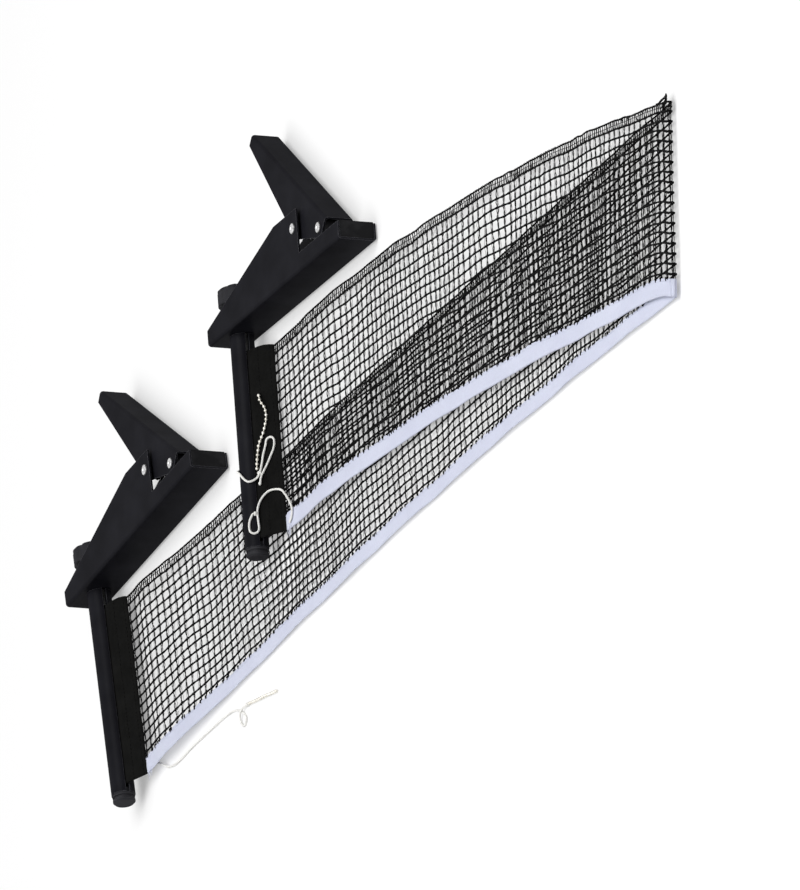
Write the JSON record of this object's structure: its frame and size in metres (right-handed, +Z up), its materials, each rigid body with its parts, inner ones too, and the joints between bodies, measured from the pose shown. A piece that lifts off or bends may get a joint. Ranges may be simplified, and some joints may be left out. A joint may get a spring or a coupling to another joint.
{
  "type": "table tennis net set",
  "caption": "Clip-on table tennis net set lying folded: spring clips with posts and hand knobs, joined by a black mesh net with a white top tape, tension cord and ball chain.",
  "frame": {"origin": "centre of the underside of the whole set as it lies folded on a surface", "axes": "+X along the longest extent, from the clips to the fold; +Y towards the side of the levers; +Z up, square to the net"},
  "size_m": [1.0885, 0.5472, 0.0348],
  "materials": {
    "black_paint": "satin black stoved paint on pressed steel",
    "black_plastic": "fine-grained moulded plastic",
    "black_rubber": "ribbed matt rubber",
    "bright_steel": "bright zinc-plated rivets",
    "spring_steel": "oiled spring wire",
    "black_fabric": "dense woven polyester hem",
    "net_cord": "knotted black nylon twine",
    "white_tape": "cool white woven tape",
    "white_cord": "braided off-white cord",
    "chain_metal": "nickel ball chain"
  },
  "bodies": {
    "net_and_posts": {"post_a": "black_paint", "post_cap_a": "black_plastic", "post_stud_a": "bright_steel", "net_hem_a": "black_fabric", "post_b": "black_paint", "post_cap_b": "black_plastic", "post_stud_b": "bright_steel", "net_hem_b": "black_fabric", "net_mesh_a": "net_cord", "net_mesh_b": "net_cord", "net_fold": "net_cord", "selvedge_a": "net_cord", "selvedge_b": "net_cord", "tape_a": "white_tape", "tape_b": "white_tape", "tension_cord_a": "white_cord", "ball_chain_a": "chain_metal", "tension_cord_b": "white_cord", "post_cord_b": "white_cord", "ball_chain_b": "chain_metal"},
    "bracket_a": {"bracket_a": "black_paint", "jaw_pad_a": "black_rubber", "pivot_pin_a": "bright_steel", "lever_spring_a": "spring_steel", "knob_spacer_a": "black_plastic"},
    "lever_a": {"lever_a": "black_paint", "roller_pin_a": "bright_steel"},
    "roller_a": {"jaw_roller_a": "black_rubber"},
    "knob_a": {"knob_a": "black_plastic"},
    "bracket_b": {"bracket_b": "black_paint", "jaw_pad_b": "black_rubber", "pivot_pin_b": "bright_steel", "lever_spring_b": "spring_steel", "knob_spacer_b": "black_plastic"},
    "lever_b": {"lever_b": "black_paint", "roller_pin_b": "bright_steel"},
    "roller_b": {"jaw_roller_b": "black_rubber"},
    "knob_b": {"knob_b": "black_plastic"}
  },
  "joints": [
    {"name": "swivel_a", "type": "hinge", "parent": "net_and_posts", "child": "bracket_a", "pos_m": [-0.5072, -0.1066, 0.0174], "axis": [-0.4289, 0.9033, 0], "range_deg": [-90, 90]},
    {"name": "squeeze_a", "type": "hinge", "parent": "bracket_a", "child": "lever_a", "pos_m": [-0.39254, -0.0112, 0.0174], "axis": [0, 0, 1], "range_deg": [0, 35], "stiffness_Nm_per_rad": 2, "springref_deg": -28.65, "deforming": ["lever_spring_a"]},
    {"name": "roller_turn_a", "type": "hinge", "parent": "lever_a", "child": "roller_a", "pos_m": [-0.35192, -0.0056, 0.0174], "axis": [0, 0, 1], "continuous": true},
    {"name": "knob_turn_a", "type": "hinge", "parent": "net_and_posts", "child": "knob_a", "pos_m": [-0.51771, -0.08447, 0.0174], "axis": [-0.4289, 0.9033, 0], "continuous": true},
    {"name": "swivel_b", "type": "hinge", "parent": "net_and_posts", "child": "bracket_b", "pos_m": [-0.25353, 0.0941, 0.0174], "axis": [-0.3256, 0.9455, 0], "range_deg": [-90, 90]},
    {"name": "squeeze_b", "type": "hinge", "parent": "bracket_b", "child": "lever_b", "pos_m": [-0.12895, 0.17613, 0.0174], "axis": [0, 0, 1], "range_deg": [0, 35], "stiffness_Nm_per_rad": 2, "springref_deg": -28.65, "deforming": ["lever_spring_b"]},
    {"name": "roller_turn_b", "type": "hinge", "parent": "lever_b", "child": "roller_b", "pos_m": [-0.08796, 0.17716, 0.0174], "axis": [0, 0, 1], "continuous": true},
    {"name": "knob_turn_b", "type": "hinge", "parent": "net_and_posts", "child": "knob_b", "pos_m": [-0.26151, 0.11727, 0.0174], "axis": [-0.3256, 0.9455, 0], "continuous": true}
  ]
}
